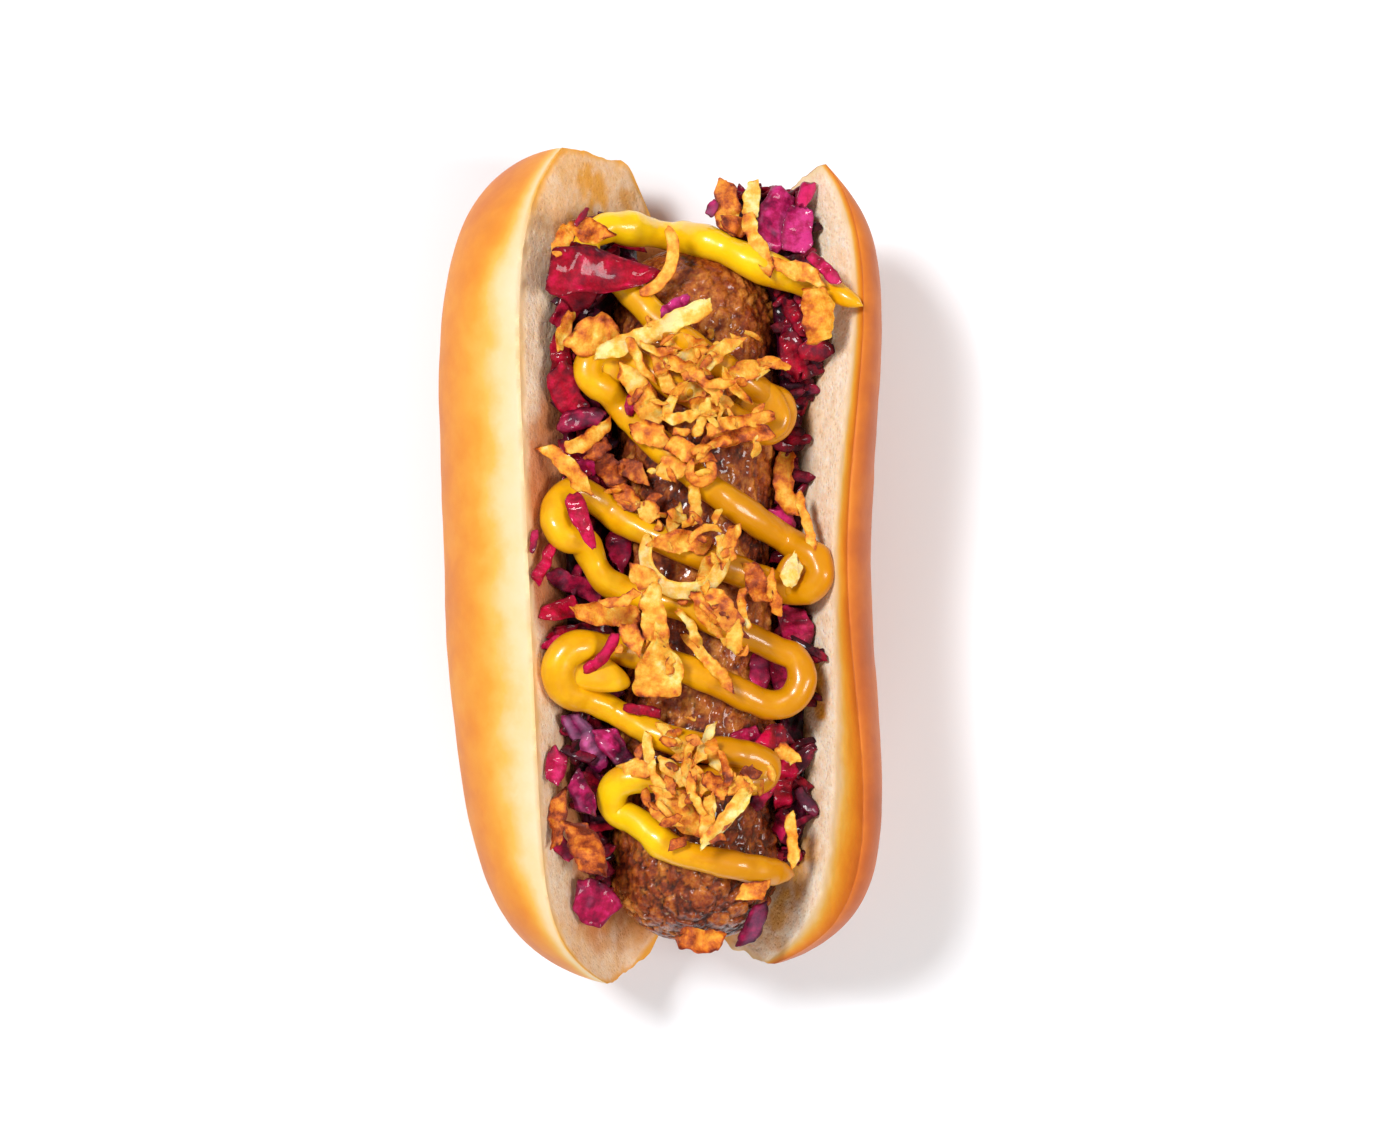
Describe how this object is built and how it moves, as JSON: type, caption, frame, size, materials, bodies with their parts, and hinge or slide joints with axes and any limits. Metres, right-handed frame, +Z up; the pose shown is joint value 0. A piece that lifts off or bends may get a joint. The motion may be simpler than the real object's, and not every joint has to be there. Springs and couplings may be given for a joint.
{
  "type": "hot dog",
  "caption": "Side-split bun opened in a V round a coarse sausage, with red cabbage, a zigzag of mustard and crisp fried onions.",
  "frame": {"origin": "on the surface that the bun rests on, under the middle of the whole", "axes": "+X across the bun from its domed half to its flat half, +Y along the bun, +Z up"},
  "size_m": [0.08, 0.1512, 0.0578],
  "materials": {
    "bread": "matte",
    "sausage": "satin",
    "mustard": "gloss",
    "cabbage": "gloss",
    "fried_onion": "matte"
  },
  "bodies": {
    "root": {"bun": "bread", "cabbage_leaf_1": "cabbage", "cabbage_leaf_10": "cabbage", "cabbage_leaf_2": "cabbage", "cabbage_leaf_3": "cabbage", "cabbage_leaf_4": "cabbage", "cabbage_leaf_5": "cabbage", "cabbage_leaf_6": "cabbage", "cabbage_leaf_7": "cabbage", "cabbage_leaf_8": "cabbage", "cabbage_leaf_9": "cabbage", "cabbage_left": "cabbage", "cabbage_right": "cabbage", "fried_onions_1": "fried_onion", "fried_onions_10": "fried_onion", "fried_onions_11": "fried_onion", "fried_onions_12": "fried_onion", "fried_onions_13": "fried_onion", "fried_onions_14": "fried_onion", "fried_onions_15": "fried_onion", "fried_onions_16": "fried_onion", "fried_onions_17": "fried_onion", "fried_onions_18": "fried_onion", "fried_onions_19": "fried_onion", "fried_onions_2": "fried_onion", "fried_onions_20": "fried_onion", "fried_onions_21": "fried_onion", "fried_onions_22": "fried_onion", "fried_onions_23": "fried_onion", "fried_onions_24": "fried_onion", "fried_onions_25": "fried_onion", "fried_onions_26": "fried_onion", "fried_onions_27": "fried_onion", "fried_onions_28": "fried_onion", "fried_onions_29": "fried_onion", "fried_onions_3": "fried_onion", "fried_onions_30": "fried_onion", "fried_onions_31": "fried_onion", "fried_onions_32": "fried_onion", "fried_onions_33": "fried_onion", "fried_onions_34": "fried_onion", "fried_onions_35": "fried_onion", "fried_onions_36": "fried_onion", "fried_onions_4": "fried_onion", "fried_onions_5": "fried_onion", "fried_onions_6": "fried_onion", "fried_onions_7": "fried_onion", "fried_onions_8": "fried_onion", "fried_onions_9": "fried_onion", "mustard": "mustard", "sausage": "sausage"}
  },
  "joints": []
}
